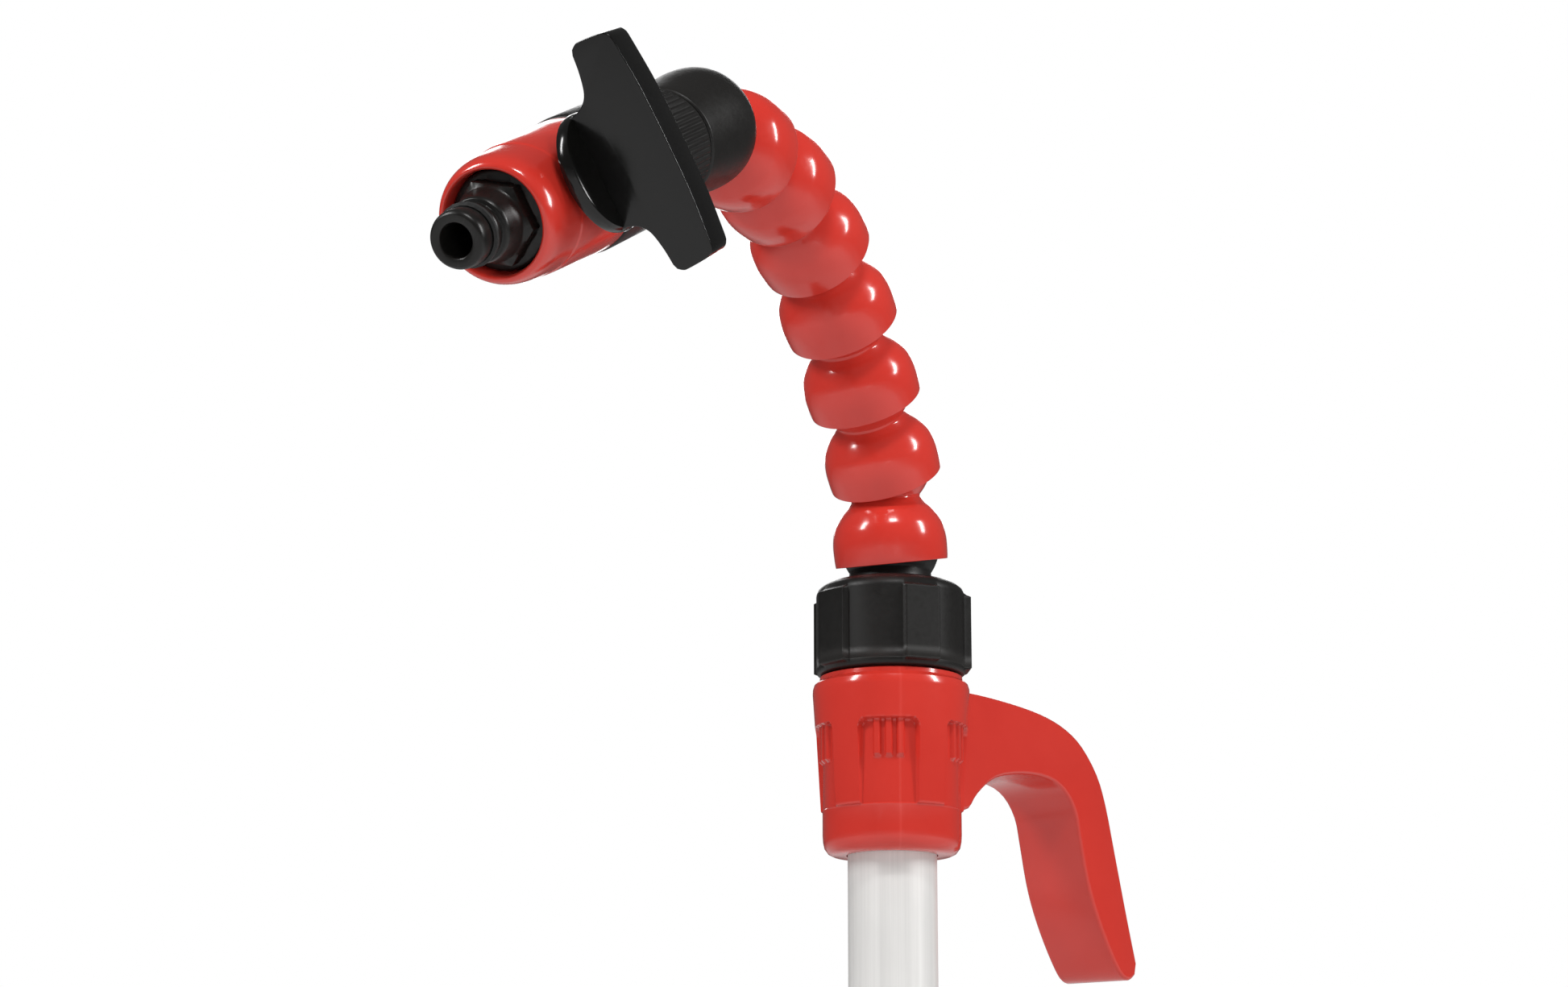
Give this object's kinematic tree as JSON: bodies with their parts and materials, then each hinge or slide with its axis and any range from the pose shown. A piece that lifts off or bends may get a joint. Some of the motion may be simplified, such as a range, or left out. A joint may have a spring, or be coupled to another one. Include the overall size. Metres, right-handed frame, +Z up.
{
  "type": "swivelling pump delivery head",
  "caption": "Delivery head of a rain-barrel pump: riser tube, rim hook, union nut, bendable ball-and-socket arm and a quarter-turn valve with a hose nipple.",
  "frame": {"origin": "centre of the riser tube's lower end", "axes": "+Z up the riser tube, +X towards the rim hook"},
  "size_m": [0.2719, 0.0929, 0.2523],
  "materials": {
    "riser_alu": "matte anodised",
    "sleeve_red": "gloss",
    "arm_red": "gloss",
    "body_red": "gloss",
    "nut_black": "satin",
    "insert_black": "satin",
    "cup_black": "satin",
    "ring_black": "satin",
    "tail_black": "satin",
    "stem_black": "satin",
    "nipple_black": "satin",
    "knob_black": "gloss",
    "seal_rubber": "matte",
    "seat_ptfe": "satin",
    "ball_chrome": "polished"
  },
  "bodies": {
    "base": {"riser_tube": "riser_alu", "hook_sleeve": "sleeve_red", "riser_oring": "seal_rubber", "nut_gasket": "seal_rubber"},
    "nut": {"union_nut": "nut_black"},
    "arm_base": {"ball_insert": "insert_black"},
    "link_1_body": {"link_1": "arm_red"},
    "link_2_body": {"link_2": "arm_red"},
    "link_3_body": {"link_3": "arm_red"},
    "link_4_body": {"link_4": "arm_red"},
    "link_5_body": {"link_5": "arm_red"},
    "link_6_body": {"link_6": "arm_red"},
    "link_7_body": {"link_7": "arm_red"},
    "cup": {"cup_adapter": "cup_black"},
    "coupling": {"coupling_ring": "ring_black"},
    "valve": {"valve_tail": "tail_black", "valve_body": "body_red", "valve_seat_front": "seat_ptfe", "valve_seat_back": "seat_ptfe", "coupling_gasket": "seal_rubber", "nipple": "nipple_black", "nipple_oring": "seal_rubber"},
    "handle": {"knob": "knob_black", "valve_stem": "stem_black", "valve_ball": "ball_chrome", "stem_oring": "seal_rubber"}
  },
  "joints": [
    {"name": "union_nut_turn", "type": "hinge", "parent": "base", "child": "nut", "pos_m": [0, 0, 0.148], "axis": [0, 0, 1], "continuous": true},
    {"name": "arm_swivel", "type": "hinge", "parent": "base", "child": "arm_base", "pos_m": [0, 0, 0.169], "axis": [0, 0, 1], "range_deg": [-100, 100]},
    {"name": "tilt_1", "type": "hinge", "parent": "arm_base", "child": "link_1_body", "pos_m": [0, 0, 0.169], "axis": [0.2504, -0.9681, 0], "range_deg": [-30, 4]},
    {"name": "tilt_2", "type": "hinge", "parent": "link_1_body", "child": "link_2_body", "pos_m": [-0.00418, -0.00108, 0.18771], "axis": [0.2504, -0.9681, 0], "range_deg": [-44, 2]},
    {"name": "tilt_3", "type": "hinge", "parent": "link_2_body", "child": "link_3_body", "pos_m": [-0.01537, -0.00398, 0.20304], "axis": [0.2504, -0.9681, 0], "range_deg": [-25, 21]},
    {"name": "tilt_4", "type": "hinge", "parent": "link_3_body", "child": "link_4_body", "pos_m": [-0.02781, -0.00719, 0.21731], "axis": [0.2504, -0.9681, 0], "range_deg": [-29, 17]},
    {"name": "tilt_5", "type": "hinge", "parent": "link_4_body", "child": "link_5_body", "pos_m": [-0.04225, -0.01093, 0.22939], "axis": [0.2504, -0.9681, 0], "range_deg": [-35, 11]},
    {"name": "tilt_6", "type": "hinge", "parent": "link_5_body", "child": "link_6_body", "pos_m": [-0.05923, -0.01532, 0.2372], "axis": [0.2504, -0.9681, 0], "range_deg": [-38, 8]},
    {"name": "tilt_7", "type": "hinge", "parent": "link_6_body", "child": "link_7_body", "pos_m": [-0.07772, -0.0201, 0.23921], "axis": [0.2504, -0.9681, 0], "range_deg": [-31, 15]},
    {"name": "tilt_8", "type": "hinge", "parent": "link_7_body", "child": "cup", "pos_m": [-0.09624, -0.02489, 0.23754], "axis": [0.2504, -0.9681, 0], "range_deg": [-43, 2]},
    {"name": "coupling_turn", "type": "hinge", "parent": "cup", "child": "coupling", "pos_m": [-0.09624, -0.02489, 0.23754], "axis": [-0.8508, -0.22, -0.4772], "continuous": true},
    {"name": "valve_swivel", "type": "hinge", "parent": "cup", "child": "valve", "pos_m": [-0.09624, -0.02489, 0.23754], "axis": [-0.8508, -0.22, -0.4772], "continuous": true},
    {"name": "knob_quarter_turn", "type": "hinge", "parent": "valve", "child": "handle", "pos_m": [-0.15835, -0.04095, 0.2027], "axis": [0.1223, -0.9661, 0.2274], "range_deg": [0, 90]}
  ]
}
